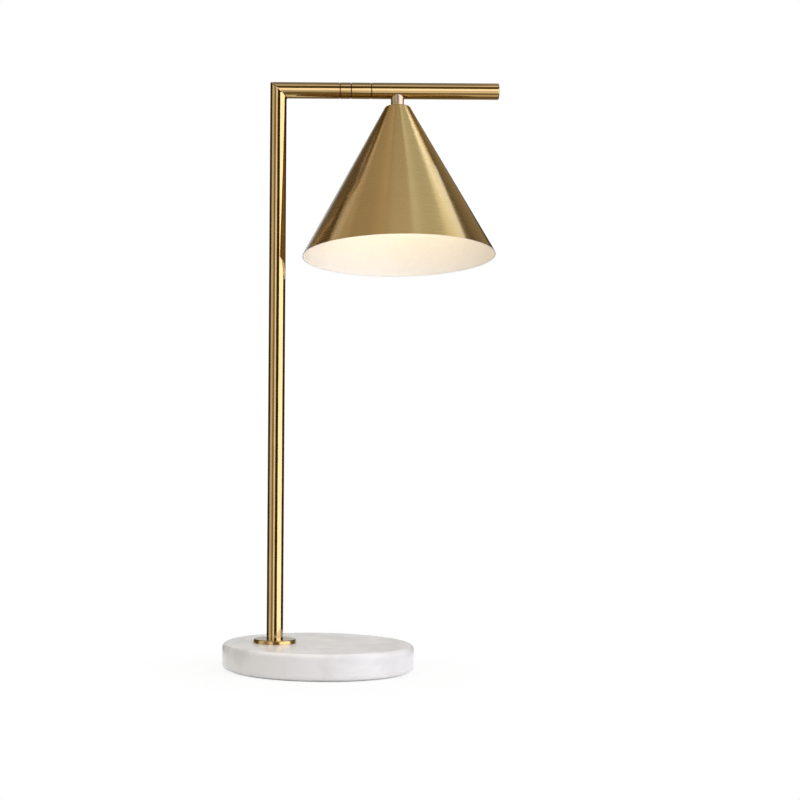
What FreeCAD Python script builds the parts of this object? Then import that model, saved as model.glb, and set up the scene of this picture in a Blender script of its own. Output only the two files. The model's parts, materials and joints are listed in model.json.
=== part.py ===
import FreeCAD
import Part

import math
import os

# Desk lamp with a round stone base, a brass post with a mitred corner, and a brass arm.
# The outer arm turns on its own axis in an in-line swivel and carries a conical shade.
# Frame: millimetres, +Z up, +X along the arm, origin at the centre of the base's underside.
# Distances along the arm run from the post's axis. Depths run down from the arm's axis.
# The turning pieces are built with the shade hanging straight, then tilted to the rest pose.

# Overall sizes
OVERALL_HEIGHT = 571.5
ARM_REACH = 214.0
REST_TILT = 8.8

# Gaps between pieces that fit together
FIT_GAP = 0.03
RUNNING_GAP = 0.05
CLEARANCE = 0.3

# Stone base, its underside recess and its pad
BASE_DIAMETER = 186.0
BASE_THICKNESS = 25.0
BASE_TOP_ROUNDING = 5.0
BASE_BOTTOM_ROUNDING = 4.5
RECESS_MARGIN = 3.0
RECESS_DEPTH = 16.0
PAD_THICKNESS = 1.0
PAD_INSET = 6.0

# Post and arm tubes
POST_OFFSET = 42.0
TUBE_DIAMETER = 16.0
TUBE_WALL = 1.2
SEAM_CHAMFER = 0.5
STUB_LENGTH = 59.5
END_CAP_THICKNESS = 2.0
END_CAP_ROUNDING = 1.0
END_CAP_PLUG_LENGTH = 6.0

# Post foot: threaded hollow rod, flange and fasteners
NIPPLE_DIAMETER = 10.0
NIPPLE_WALL = 1.5
FOOT_BUSH_LENGTH = 14.0
FOOT_NIPPLE_ENGAGEMENT = 12.0
FLANGE_DIAMETER = 42.0
FLANGE_THICKNESS = 4.0
FLANGE_CHAMFER = 0.8
FLANGE_SEAT_DEPTH = 1.0
BASE_WASHER_DIAMETER = 28.0
BASE_WASHER_THICKNESS = 1.5
LOCK_WASHER_DIAMETER = 17.0
LOCK_WASHER_THICKNESS = 1.0
LOCK_WASHER_SPLIT = 1.5
NUT_ACROSS_FLATS = 15.0
BASE_NUT_THICKNESS = 4.0
NIPPLE_OVERHANG = 0.5

# Cord gland in the back of the base
GLAND_RISE = 8.0
GLAND_BORE = 6.8
GLAND_WALL = 1.2
GLAND_FLANGE_LIP = 1.4
GLAND_FLANGE_THICKNESS = 2.0
GLAND_SEAT_DEPTH = 1.2
GLAND_BODY_LENGTH = 12.0

# Terminal block under the stone
TERMINAL_LENGTH = 16.0
TERMINAL_WIDTH = 20.0
TERMINAL_HEIGHT = 11.0
TERMINAL_PITCH = 8.0
TERMINAL_ENTRY_DROP = 6.0
TERMINAL_ENTRY_DEPTH = 4.0
TERMINAL_SCREW_DIAMETER = 3.5
TERMINAL_SCREW_SINK = 0.6
TERMINAL_SLOT_WIDTH = 0.6

# Wires inside the tubes
WIRE_DIAMETER = 2.0
WIRE_GAP = 0.1
WIRE_LEAD = 6.0
WIRE_RISE_RUN = 12.0
FOOT_WIRE_BEND = 3.5
ELBOW_WIRE_BEND = 14.0
NECK_WIRE_BEND = 9.0

# In-line swivel
SWIVEL_FIXED_LENGTH = 10.5
SWIVEL_TURNING_LENGTH = 19.5
SPIGOT_LENGTH = 14.0
FRICTION_WASHER_THICKNESS = 0.5
FRICTION_WASHER_INSET = 1.2
SPINDLE_WIRE_ROOM = 0.5
SPINDLE_WALL = 1.0
SPINDLE_ENGAGEMENT = 16.0
SPINDLE_HEAD_LIP = 1.0
SPINDLE_HEAD_LENGTH = 3.0
SPINDLE_SLOT_WIDTH = 1.2
SPINDLE_SLOT_DEPTH = 1.0
SWIVEL_BEARING_LENGTH = 12.0
DISC_SPRING_THICKNESS = 0.5
DISC_SPRING_RISE = 0.5
STOP_SCREW_DIAMETER = 3.0
STOP_TIP_DIAMETER = 1.4
STOP_SCREW_SINK = 0.6
STOP_SCREW_POSITION = 6.0
STOP_GROOVE_DEPTH = 0.5
STOP_LAND_ANGLE = 32.0

# Shade and its neck
NECK_INSET = 25.5
NECK_WALL = 1.3
NECK_LENGTH = 8.3
NECK_CHAMFER = 0.4
NECK_NIPPLE_RISE = 0.8
SHADE_RIM_DIAMETER = 185.0
SHADE_TOP_DIAMETER = 24.0
SHADE_HEIGHT = 148.0
SHADE_WALL = 0.8
SHADE_SHOULDER_ROUNDING = 2.2
SHADE_WASHER_INSET = 2.5
SHADE_WASHER_THICKNESS = 1.0
SHADE_NUT_THICKNESS = 4.0

# Lamp holder
SOCKET_SHELL_ROOM = 0.8
SOCKET_WALL = 2.4
SOCKET_COLLAR_DIAMETER = 17.0
SOCKET_COLLAR_LENGTH = 4.0
SOCKET_NIPPLE_ENGAGEMENT = 7.0
SOCKET_CAP_WALL = 2.0
SOCKET_CORE_THICKNESS = 5.0
SOCKET_SHELL_WALL = 0.4
SOCKET_SHELL_INSET = 2.0
SOCKET_SHELL_LIP = 4.0
CONTACT_DIAMETER = 7.0
CONTACT_HEIGHT = 1.8
CONTACT_RIVET_DIAMETER = 3.0

# Bulb
BULB_CAP_DIAMETER = 26.2
BULB_CAP_WALL = 0.5
BULB_CAP_LENGTH = 23.0
BULB_CAP_SHOWING = 1.8
BULB_TIP_DIAMETER = 9.0
BULB_TIP_HEIGHT = 2.0
BULB_TIP_PLUG = 3.0
BULB_HOUSING_LENGTH = 15.0
BULB_HOUSING_PLUG = 6.0
BULB_HOUSING_WALL = 1.2
BULB_GLOBE_DIAMETER = 45.0
BULB_GLOBE_WALL = 1.0
BULB_GLOBE_MOUTH = 32.0

# Positions and radii that follow from the sizes above
tube_radius = TUBE_DIAMETER / 2
tube_bore_radius = tube_radius - TUBE_WALL
plug_radius = tube_bore_radius - FIT_GAP
arm_axis_height = OVERALL_HEIGHT - tube_radius
post_x = -POST_OFFSET
base_top = PAD_THICKNESS + BASE_THICKNESS
recess_radius = POST_OFFSET + BASE_WASHER_DIAMETER / 2 + RECESS_MARGIN
recess_ceiling = PAD_THICKNESS + RECESS_DEPTH
gland_height = PAD_THICKNESS + GLAND_RISE
gland_seat = BASE_DIAMETER / 2 - GLAND_SEAT_DEPTH
gland_body_radius = GLAND_BORE / 2 + GLAND_WALL
gland_flange_radius = gland_body_radius + GLAND_FLANGE_LIP
flange_top = base_top + FLANGE_THICKNESS
post_bottom = flange_top - FLANGE_SEAT_DEPTH
nipple_radius = NIPPLE_DIAMETER / 2
nipple_bore_radius = nipple_radius - NIPPLE_WALL
foot_nipple_bottom = (
    recess_ceiling
    - BASE_WASHER_THICKNESS
    - LOCK_WASHER_THICKNESS
    - BASE_NUT_THICKNESS
    - NIPPLE_OVERHANG
)
foot_nipple_top = post_bottom + FOOT_NIPPLE_ENGAGEMENT
foot_wire_height = foot_nipple_bottom - FOOT_WIRE_BEND
terminal_bottom = recess_ceiling - TERMINAL_HEIGHT
terminal_entry_height = recess_ceiling - TERMINAL_ENTRY_DROP
wire_offset = (WIRE_DIAMETER + WIRE_GAP) / 2

swivel_seam = STUB_LENGTH + SWIVEL_FIXED_LENGTH
turning_start = swivel_seam + FRICTION_WASHER_THICKNESS
arm_tube_start = turning_start + SWIVEL_TURNING_LENGTH
arm_tube_end = ARM_REACH - END_CAP_THICKNESS
neck_x = post_x + arm_tube_start + NECK_INSET
spindle_bore_radius = wire_offset + WIRE_DIAMETER / 2 + SPINDLE_WIRE_ROOM
spindle_radius = spindle_bore_radius + SPINDLE_WALL
spindle_head_radius = spindle_radius + SPINDLE_HEAD_LIP
bearing_end = turning_start + SWIVEL_BEARING_LENGTH
disc_spring_height = DISC_SPRING_THICKNESS + DISC_SPRING_RISE
spindle_head_start = bearing_end + disc_spring_height
stop_groove_radius = spindle_radius - STOP_GROOVE_DEPTH
stop_tip_reach = stop_groove_radius + RUNNING_GAP

neck_radius = nipple_radius + NECK_WALL
neck_nipple_depth = tube_bore_radius - NECK_NIPPLE_RISE
shade_top_depth = tube_radius + NECK_LENGTH
shade_rim_depth = shade_top_depth + SHADE_HEIGHT
shade_slope = (SHADE_RIM_DIAMETER - SHADE_TOP_DIAMETER) / 2 / SHADE_HEIGHT
shade_washer_depth = shade_top_depth + SHADE_WALL
shade_nut_depth = shade_washer_depth + SHADE_WASHER_THICKNESS
socket_top_depth = shade_nut_depth + SHADE_NUT_THICKNESS
bulb_cap_radius = BULB_CAP_DIAMETER / 2
socket_shell_bore_radius = bulb_cap_radius + CLEARANCE
socket_shell_radius = socket_shell_bore_radius + SOCKET_SHELL_WALL
socket_bore_radius = socket_shell_radius + SOCKET_SHELL_ROOM
socket_radius = socket_bore_radius + SOCKET_WALL
socket_collar_radius = SOCKET_COLLAR_DIAMETER / 2
socket_flare_depth = socket_top_depth + SOCKET_COLLAR_LENGTH
socket_body_depth = socket_flare_depth + (socket_radius - socket_collar_radius) / shade_slope
neck_nipple_end_depth = socket_top_depth + SOCKET_NIPPLE_ENGAGEMENT
socket_shell_depth = socket_body_depth + SOCKET_CORE_THICKNESS
contact_tip_depth = socket_shell_depth + CONTACT_HEIGHT
bulb_cap_depth = contact_tip_depth + BULB_TIP_HEIGHT
bulb_shoulder_depth = bulb_cap_depth + BULB_CAP_LENGTH
socket_end_depth = bulb_shoulder_depth - BULB_CAP_SHOWING
bulb_mouth_depth = bulb_shoulder_depth + BULB_HOUSING_LENGTH
bulb_globe_radius = BULB_GLOBE_DIAMETER / 2
bulb_mouth_radius = BULB_GLOBE_MOUTH / 2
bulb_centre_depth = bulb_mouth_depth + math.sqrt(bulb_globe_radius**2 - bulb_mouth_radius**2)

ORIGIN = FreeCAD.Vector(0, 0, 0)
ALONG_X = FreeCAD.Vector(1, 0, 0)
ALONG_Y = FreeCAD.Vector(0, 1, 0)
UP = FreeCAD.Vector(0, 0, 1)
ELBOW = FreeCAD.Vector(post_x, 0, arm_axis_height)
FULL_TURN = 360
QUARTER_TURN = FULL_TURN / 4
MITRE_ANGLE = QUARTER_TURN / 2
HEXAGON_SIDES = 6
SHORTEST_EDGE = 1e-6


# Shape helpers
def corner_arc(before, corner, after, radius):
    """Points where an arc of this radius enters, halves and leaves a corner."""
    if radius == 0:
        return corner, None, corner
    toward_before = (before - corner).normalize()
    toward_after = (after - corner).normalize()
    half_angle = toward_before.getAngle(toward_after) / 2
    bisector = (toward_before + toward_after).normalize()
    setback = radius / math.tan(half_angle)
    centre = corner + bisector * (radius / math.sin(half_angle))
    return corner + toward_before * setback, centre - bisector * radius, corner + toward_after * setback


def joined_edges(arcs):
    """Arcs in order, with a straight run from each arc's end to the next one's start."""
    edges = []
    for position, (enter, middle, leave) in enumerate(arcs):
        if position and arcs[position - 1][2].distanceToPoint(enter) > SHORTEST_EDGE:
            edges.append(Part.LineSegment(arcs[position - 1][2], enter).toShape())
        if middle is not None:
            edges.append(Part.Arc(enter, middle, leave).toShape())
    return edges


def turned(corners):
    """Solid of revolution about Z from (radius, height) corners, each with an optional rounding."""
    points = [FreeCAD.Vector(corner[0], 0, corner[1]) for corner in corners]
    roundings = [corner[2] if len(corner) > 2 else 0 for corner in corners]
    count = len(points)
    arcs = [
        corner_arc(points[i - 1], points[i], points[(i + 1) % count], roundings[i])
        for i in range(count)
    ]
    outline = Part.Wire(joined_edges(arcs + arcs[:1]))
    return Part.Face(outline).revolve(ORIGIN, UP, FULL_TURN).Solids[0]


def turned_hanging(corners):
    """As turned, with depths below the arm's axis in place of heights, hung at the neck."""
    return hung(turned([(corner[0], -corner[1], *corner[2:]) for corner in corners]))


def ring(outer_radius, inner_radius, bottom, top):
    """Plain ring about Z."""
    return turned([(inner_radius, bottom), (outer_radius, bottom), (outer_radius, top), (inner_radius, top)])


def disc(radius, bottom, top):
    """Plain cylinder about Z."""
    return Part.makeCylinder(radius, top - bottom, FreeCAD.Vector(0, 0, bottom), UP)


def hexagon(across_flats, bottom, top):
    """Hexagonal prism about Z."""
    corner_radius = across_flats / math.sqrt(3)
    angles = [math.radians(FULL_TURN * side / HEXAGON_SIDES) for side in range(HEXAGON_SIDES + 1)]
    points = [
        FreeCAD.Vector(corner_radius * math.cos(a), corner_radius * math.sin(a), bottom) for a in angles
    ]
    return Part.Face(Part.makePolygon(points)).extrude(FreeCAD.Vector(0, 0, top - bottom))


def nut(bottom, top):
    """Hexagon nut about Z for the threaded hollow rods."""
    return hexagon(NUT_ACROSS_FLATS, bottom, top).cut(disc(nipple_radius + FIT_GAP, bottom, top))


def box(length, width, height, centre):
    """Box of these X, Y and Z sizes about a centre."""
    corner = centre - FreeCAD.Vector(length / 2, width / 2, height / 2)
    return Part.makeBox(length, width, height, corner)


def wire_along(points, bends):
    """Round wire along straight runs between points, with a bend at each inner point."""
    arcs = [(points[0], None, points[0])]
    for position, bend in enumerate(bends, start=1):
        arcs.append(corner_arc(points[position - 1], points[position], points[position + 1], bend))
    arcs.append((points[-1], None, points[-1]))
    path = Part.Wire(joined_edges(arcs))
    section = Part.Circle(points[0], points[1] - points[0], WIRE_DIAMETER / 2).toShape()
    return path.makePipeShell([Part.Wire([section])], True, False).Solids[0]


# Placing helpers
def at_post(shape):
    """Move a shape built about the Z axis onto the post's axis."""
    return shape.translated(FreeCAD.Vector(post_x, 0, 0))


def along_arm(shape):
    """Lay a shape built about Z onto the arm's axis, with heights turned into distances."""
    laid = shape.rotated(ORIGIN, ALONG_Y, QUARTER_TURN)
    return laid.translated(ELBOW)


def hung(shape):
    """Move a shape built about Z down from the arm's axis at the neck."""
    return shape.translated(FreeCAD.Vector(neck_x, 0, arm_axis_height))


def tilted(shape):
    """Turn a piece of the moving arm from hanging straight to the rest pose."""
    return shape.rotated(ELBOW, ALONG_X, -REST_TILT)


# Base
def gland_hole(radius, start, length):
    """Cylinder on the gland's axis, from this distance behind the base's centre outwards."""
    return Part.makeCylinder(radius, length, FreeCAD.Vector(0, start, gland_height), ALONG_Y)


def foot_pad():
    """Soft disc that the lamp stands on, closing the recess in the stone."""
    return disc(BASE_DIAMETER / 2 - PAD_INSET, 0, PAD_THICKNESS)


def stone_base():
    """Round stone with rounded edges, a recess below, the post hole and the gland hole."""
    stone = turned(
        [
            (recess_radius, PAD_THICKNESS),
            (BASE_DIAMETER / 2, PAD_THICKNESS, BASE_BOTTOM_ROUNDING),
            (BASE_DIAMETER / 2, base_top, BASE_TOP_ROUNDING),
            (0, base_top),
            (0, recess_ceiling),
            (recess_radius, recess_ceiling),
        ]
    )
    stone = stone.cut(at_post(disc(nipple_radius + CLEARANCE, PAD_THICKNESS, base_top)))
    stone = stone.cut(gland_hole(gland_body_radius + FIT_GAP, 0, BASE_DIAMETER))
    return stone.cut(gland_hole(gland_flange_radius + CLEARANCE, gland_seat, BASE_DIAMETER))


def cord_gland():
    """Flanged bush that the supply cord enters by."""
    body = gland_hole(gland_body_radius, gland_seat - GLAND_BODY_LENGTH, GLAND_BODY_LENGTH)
    flange = gland_hole(gland_flange_radius, gland_seat, GLAND_FLANGE_THICKNESS)
    return body.fuse(flange).cut(gland_hole(GLAND_BORE / 2, 0, BASE_DIAMETER)).removeSplitter()


# Terminal block
def terminal_places():
    """X and Y of the four clamping screws: two for each wire."""
    return [
        (side * TERMINAL_LENGTH / 4, row * TERMINAL_PITCH / 2) for side in (-1, 1) for row in (-1, 1)
    ]


def terminal_block():
    """Two-pole block on the recess's ceiling, with wire holes at both ends and screw holes below."""
    centre = FreeCAD.Vector(0, 0, recess_ceiling - TERMINAL_HEIGHT / 2)
    block = box(TERMINAL_LENGTH, TERMINAL_WIDTH, TERMINAL_HEIGHT, centre)
    hole_radius = WIRE_DIAMETER / 2 + CLEARANCE
    for row in (-1, 1):
        for side in (-1, 1):
            mouth = FreeCAD.Vector(
                side * TERMINAL_LENGTH / 2, row * TERMINAL_PITCH / 2, terminal_entry_height
            )
            entry = Part.makeCylinder(hole_radius, TERMINAL_ENTRY_DEPTH, mouth, ALONG_X * -side)
            block = block.cut(entry)
    for x, y in terminal_places():
        well = disc(TERMINAL_SCREW_DIAMETER / 2 + FIT_GAP, terminal_bottom, terminal_entry_height)
        block = block.cut(well.translated(FreeCAD.Vector(x, y, 0)))
    return block


def terminal_screws():
    """Slotted screws that clamp the wires, set into the block from below."""
    start = terminal_bottom + TERMINAL_SCREW_SINK
    end = terminal_entry_height - WIRE_DIAMETER / 2
    screws = []
    for x, y in terminal_places():
        slot_centre = FreeCAD.Vector(0, 0, start)
        slot = box(TERMINAL_SCREW_DIAMETER, TERMINAL_SLOT_WIDTH, TERMINAL_SLOT_WIDTH, slot_centre)
        screw = disc(TERMINAL_SCREW_DIAMETER / 2, start, end).cut(slot)
        screws.append(screw.translated(FreeCAD.Vector(x, y, 0)))
    return Part.makeCompound(screws)


# Post
def base_washer():
    """Wide washer under the stone at the post."""
    bottom = recess_ceiling - BASE_WASHER_THICKNESS
    return at_post(ring(BASE_WASHER_DIAMETER / 2, nipple_radius + CLEARANCE, bottom, recess_ceiling))


def base_lock_washer():
    """Split washer between the wide washer and the nut."""
    top = recess_ceiling - BASE_WASHER_THICKNESS
    bottom = top - LOCK_WASHER_THICKNESS
    washer = ring(LOCK_WASHER_DIAMETER / 2, nipple_radius + CLEARANCE, bottom, top)
    split_centre = FreeCAD.Vector(LOCK_WASHER_DIAMETER / 2, 0, (bottom + top) / 2)
    split = box(LOCK_WASHER_DIAMETER, LOCK_WASHER_SPLIT, LOCK_WASHER_THICKNESS, split_centre)
    return at_post(washer.cut(split))


def base_nut():
    """Nut that draws the post down onto the stone."""
    bottom = foot_nipple_bottom + NIPPLE_OVERHANG
    return at_post(nut(bottom, bottom + BASE_NUT_THICKNESS))


def post_nipple():
    """Threaded hollow rod through the stone and flange into the post's foot."""
    return at_post(ring(nipple_radius, nipple_bore_radius, foot_nipple_bottom, foot_nipple_top))


def base_flange():
    """Round flange on the stone, with a shallow seat for the post."""
    return at_post(
        turned(
            [
                (nipple_radius + CLEARANCE, base_top),
                (FLANGE_DIAMETER / 2, base_top),
                (FLANGE_DIAMETER / 2, flange_top - FLANGE_CHAMFER),
                (FLANGE_DIAMETER / 2 - FLANGE_CHAMFER, flange_top),
                (tube_radius + FIT_GAP, flange_top),
                (tube_radius + FIT_GAP, post_bottom),
                (nipple_radius + CLEARANCE, post_bottom),
            ]
        )
    )


def post_foot_bush():
    """Threaded bush brazed into the post's lower end."""
    return at_post(ring(plug_radius, nipple_radius + FIT_GAP, post_bottom, post_bottom + FOOT_BUSH_LENGTH))


def mitre_block(side):
    """Block at the elbow that ends at the mitre plane: side 1 is the arm's, side -1 the post's."""
    block = box(ARM_REACH, ARM_REACH, ARM_REACH, FreeCAD.Vector(0, 0, side * ARM_REACH / 2))
    return block.rotated(ORIGIN, ALONG_Y, MITRE_ANGLE).translated(ELBOW)


def tube_length(start, end, start_chamfer, end_chamfer):
    """Length of the lamp's tube about Z, with its outer edges chamfered where a seam shows."""
    return turned(
        [
            (tube_bore_radius, start),
            (tube_radius - start_chamfer, start),
            (tube_radius, start + start_chamfer),
            (tube_radius, end - end_chamfer),
            (tube_radius - end_chamfer, end),
            (tube_bore_radius, end),
        ]
    )


def post_tube():
    """Upright tube from the flange to the mitred corner."""
    upright = at_post(ring(tube_radius, tube_bore_radius, post_bottom, OVERALL_HEIGHT + tube_radius))
    return upright.cut(mitre_block(1))


def arm_stub():
    """Short fixed tube from the mitred corner to the swivel."""
    level = along_arm(tube_length(-TUBE_DIAMETER, STUB_LENGTH, 0, SEAM_CHAMFER))
    return level.cut(mitre_block(-1))


def post_wires():
    """Two wires from the terminal block up the post and along the stub to the swivel."""
    wires = []
    for side in (-1, 1):
        offset = side * wire_offset
        row = side * TERMINAL_PITCH / 2
        mouth_x = -TERMINAL_LENGTH / 2
        rise_x = mouth_x - WIRE_LEAD
        points = [
            FreeCAD.Vector(mouth_x + TERMINAL_ENTRY_DEPTH - CLEARANCE, row, terminal_entry_height),
            FreeCAD.Vector(rise_x, row, terminal_entry_height),
            FreeCAD.Vector(rise_x - WIRE_RISE_RUN, offset, foot_wire_height),
            FreeCAD.Vector(post_x, offset, foot_wire_height),
            FreeCAD.Vector(post_x, offset, arm_axis_height),
            FreeCAD.Vector(post_x + swivel_seam - CLEARANCE / 2, offset, arm_axis_height),
        ]
        wires.append(wire_along(points, [FOOT_WIRE_BEND] * 3 + [ELBOW_WIRE_BEND]))
    return Part.makeCompound(wires)


# Swivel
def swivel_socket():
    """Fixed half of the swivel: a ring as wide as the tube, with a spigot in the stub."""
    return along_arm(
        turned(
            [
                (spindle_radius + FIT_GAP, STUB_LENGTH - SPIGOT_LENGTH),
                (plug_radius, STUB_LENGTH - SPIGOT_LENGTH),
                (plug_radius, STUB_LENGTH),
                (tube_radius - SEAM_CHAMFER, STUB_LENGTH),
                (tube_radius, STUB_LENGTH + SEAM_CHAMFER),
                (tube_radius, swivel_seam - SEAM_CHAMFER),
                (tube_radius - SEAM_CHAMFER, swivel_seam),
                (spindle_radius + FIT_GAP, swivel_seam),
            ]
        )
    )


def stop_groove():
    """Part-turn groove round the spindle, about Z, closed by the land that stops the arm."""
    half_width = STOP_TIP_DIAMETER / 2 + RUNNING_GAP
    middle = turning_start + STOP_SCREW_POSITION
    groove = ring(spindle_head_radius, stop_groove_radius, middle - half_width, middle + half_width)
    land = Part.makeCylinder(tube_radius, spindle_head_start, ORIGIN, UP, STOP_LAND_ANGLE)
    return groove.cut(land.rotated(ORIGIN, UP, -QUARTER_TURN - STOP_LAND_ANGLE / 2))


def swivel_spindle():
    """Hollow shoulder screw that the turning half runs on, screwed into the fixed half."""
    head_end = spindle_head_start + SPINDLE_HEAD_LENGTH
    spindle = turned(
        [
            (spindle_bore_radius, swivel_seam - SPINDLE_ENGAGEMENT),
            (spindle_radius, swivel_seam - SPINDLE_ENGAGEMENT),
            (spindle_radius, spindle_head_start),
            (spindle_head_radius, spindle_head_start),
            (spindle_head_radius, head_end),
            (spindle_bore_radius, head_end),
        ]
    )
    slot_centre = FreeCAD.Vector(0, 0, head_end - SPINDLE_SLOT_DEPTH / 2)
    slot = box(TUBE_DIAMETER, SPINDLE_SLOT_WIDTH, SPINDLE_SLOT_DEPTH, slot_centre)
    return along_arm(spindle.cut(slot).cut(stop_groove()))


def friction_washer():
    """Thin fibre washer between the two halves of the swivel."""
    outer = tube_radius - FRICTION_WASHER_INSET
    return along_arm(ring(outer, spindle_radius + CLEARANCE, swivel_seam, turning_start))


def disc_spring():
    """Coned spring washer that presses the turning half against the friction washer."""
    inner = spindle_radius + RUNNING_GAP
    outer = spindle_head_radius
    return along_arm(
        turned(
            [
                (inner, bearing_end + DISC_SPRING_RISE),
                (outer, bearing_end),
                (outer, bearing_end + DISC_SPRING_THICKNESS),
                (inner, bearing_end + disc_spring_height),
            ]
        )
    )


def swivel_sleeve():
    """Turning half of the swivel: a ring as wide as the tube, with a spigot in the arm."""
    bearing_radius = spindle_radius + RUNNING_GAP
    head_bore_radius = spindle_head_radius + CLEARANCE
    sleeve = turned(
        [
            (bearing_radius, turning_start),
            (tube_radius - SEAM_CHAMFER, turning_start),
            (tube_radius, turning_start + SEAM_CHAMFER),
            (tube_radius, arm_tube_start - SEAM_CHAMFER),
            (tube_radius - SEAM_CHAMFER, arm_tube_start),
            (plug_radius, arm_tube_start),
            (plug_radius, arm_tube_start + SPIGOT_LENGTH),
            (head_bore_radius, arm_tube_start + SPIGOT_LENGTH),
            (head_bore_radius, bearing_end),
            (bearing_radius, bearing_end),
        ]
    )
    screw_hole = stop_cylinder(STOP_SCREW_DIAMETER / 2 + FIT_GAP, 0, TUBE_DIAMETER)
    return along_arm(sleeve.cut(screw_hole))


def stop_cylinder(radius, start, end):
    """Cylinder about the stop screw's axis, out from the swivel's axis, for a piece about Z."""
    seat = FreeCAD.Vector(0, start, turning_start + STOP_SCREW_POSITION)
    return Part.makeCylinder(radius, end - start, seat, ALONG_Y)


def stop_screw():
    """Grub screw in the turning half, whose tip runs in the spindle's groove."""
    shoulder = spindle_radius + CLEARANCE
    tip = stop_cylinder(STOP_TIP_DIAMETER / 2, stop_tip_reach, shoulder)
    body = stop_cylinder(STOP_SCREW_DIAMETER / 2, shoulder, tube_radius - STOP_SCREW_SINK)
    return along_arm(tip.fuse(body).removeSplitter())


# Moving arm
def arm_tube():
    """Outer tube, with a hole below for the hollow rod of the neck."""
    level = along_arm(tube_length(arm_tube_start, arm_tube_end, SEAM_CHAMFER, 0.0))
    return level.cut(hung(disc(nipple_radius + FIT_GAP, -TUBE_DIAMETER, 0)))


def arm_end_cap():
    """Plug that closes the arm's tip."""
    return along_arm(
        turned(
            [
                (0, arm_tube_end - END_CAP_PLUG_LENGTH),
                (plug_radius, arm_tube_end - END_CAP_PLUG_LENGTH),
                (plug_radius, arm_tube_end),
                (tube_radius, arm_tube_end),
                (tube_radius, ARM_REACH, END_CAP_ROUNDING),
                (0, ARM_REACH),
            ]
        )
    )


def shade_neck():
    """Threaded collar brazed under the arm, its top cut to sit on the tube."""
    neck = turned_hanging(
        [
            (nipple_radius + FIT_GAP, 0),
            (neck_radius, 0),
            (neck_radius, shade_top_depth - NECK_CHAMFER),
            (neck_radius - NECK_CHAMFER, shade_top_depth),
            (nipple_radius + FIT_GAP, shade_top_depth),
        ]
    )
    arm = along_arm(disc(tube_radius, 0, ARM_REACH))
    return neck.cut(arm)


def neck_nipple():
    """Threaded hollow rod from inside the arm down to the lamp holder."""
    return hung(ring(nipple_radius, nipple_bore_radius, -neck_nipple_end_depth, -neck_nipple_depth))


def arm_wires():
    """Two wires from the swivel along the arm and down the neck to the lamp holder."""
    wires = []
    for side in (-1, 1):
        offset = side * wire_offset
        points = [
            FreeCAD.Vector(post_x + swivel_seam + CLEARANCE / 2, offset, arm_axis_height),
            FreeCAD.Vector(neck_x, offset, arm_axis_height),
            FreeCAD.Vector(neck_x, offset, arm_axis_height - socket_body_depth),
        ]
        wires.append(wire_along(points, [NECK_WIRE_BEND]))
    return Part.makeCompound(wires)


# Shade
def shade():
    """Spun conical shell with a flat top, open below."""
    wall_across = SHADE_WALL * math.hypot(1, shade_slope)
    hole_radius = nipple_radius + CLEARANCE
    top_radius = SHADE_TOP_DIAMETER / 2
    rim_radius = SHADE_RIM_DIAMETER / 2
    inner_top_radius = top_radius + SHADE_WALL * shade_slope - wall_across
    return turned_hanging(
        [
            (hole_radius, shade_top_depth),
            (top_radius, shade_top_depth, SHADE_SHOULDER_ROUNDING),
            (rim_radius, shade_rim_depth),
            (rim_radius - wall_across, shade_rim_depth),
            (inner_top_radius, shade_washer_depth, SHADE_SHOULDER_ROUNDING - SHADE_WALL),
            (hole_radius, shade_washer_depth),
        ]
    )


def shade_washer():
    """Washer inside the top of the shade."""
    outer = SHADE_TOP_DIAMETER / 2 - SHADE_WASHER_INSET
    return hung(ring(outer, nipple_radius + CLEARANCE, -shade_nut_depth, -shade_washer_depth))


def shade_nut():
    """Nut that clamps the shade against its neck."""
    return hung(nut(-socket_top_depth, -shade_nut_depth))


# Lamp holder
def socket_cap():
    """Insulating cap screwed onto the hollow rod, flared in line with the shade."""
    inner_radius = socket_radius - SOCKET_CAP_WALL
    inner_flare_radius = inner_radius - (socket_body_depth - neck_nipple_end_depth) * shade_slope
    return turned_hanging(
        [
            (nipple_radius + FIT_GAP, socket_top_depth),
            (socket_collar_radius, socket_top_depth),
            (socket_collar_radius, socket_flare_depth),
            (socket_radius, socket_body_depth),
            (inner_radius, socket_body_depth),
            (inner_flare_radius, neck_nipple_end_depth),
            (nipple_radius + FIT_GAP, neck_nipple_end_depth),
        ]
    )


def socket_body():
    """Insulating skirt round the screw shell."""
    return hung(ring(socket_radius, socket_bore_radius, -socket_end_depth, -socket_body_depth))


def socket_core():
    """Insulating disc that carries the screw shell and the centre contact."""
    outer = socket_bore_radius - FIT_GAP
    rivet = CONTACT_RIVET_DIAMETER / 2 + FIT_GAP
    return hung(ring(outer, rivet, -socket_shell_depth, -socket_body_depth))


def socket_screw_shell():
    """Metal shell that the bulb screws into, with a lip under the core."""
    shell_end = socket_end_depth - SOCKET_SHELL_INSET
    lip_bottom = socket_shell_depth + SOCKET_SHELL_WALL
    lip_radius = socket_shell_bore_radius - SOCKET_SHELL_LIP
    return turned_hanging(
        [
            (lip_radius, socket_shell_depth),
            (socket_shell_radius, socket_shell_depth),
            (socket_shell_radius, shell_end),
            (socket_shell_bore_radius, shell_end),
            (socket_shell_bore_radius, lip_bottom),
            (lip_radius, lip_bottom),
        ]
    )


def socket_contact():
    """Centre contact riveted through the core."""
    rivet_radius = CONTACT_RIVET_DIAMETER / 2
    return turned_hanging(
        [
            (0, socket_body_depth),
            (rivet_radius, socket_body_depth),
            (rivet_radius, socket_shell_depth),
            (CONTACT_DIAMETER / 2, socket_shell_depth),
            (rivet_radius, contact_tip_depth),
            (0, contact_tip_depth),
        ]
    )


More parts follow.
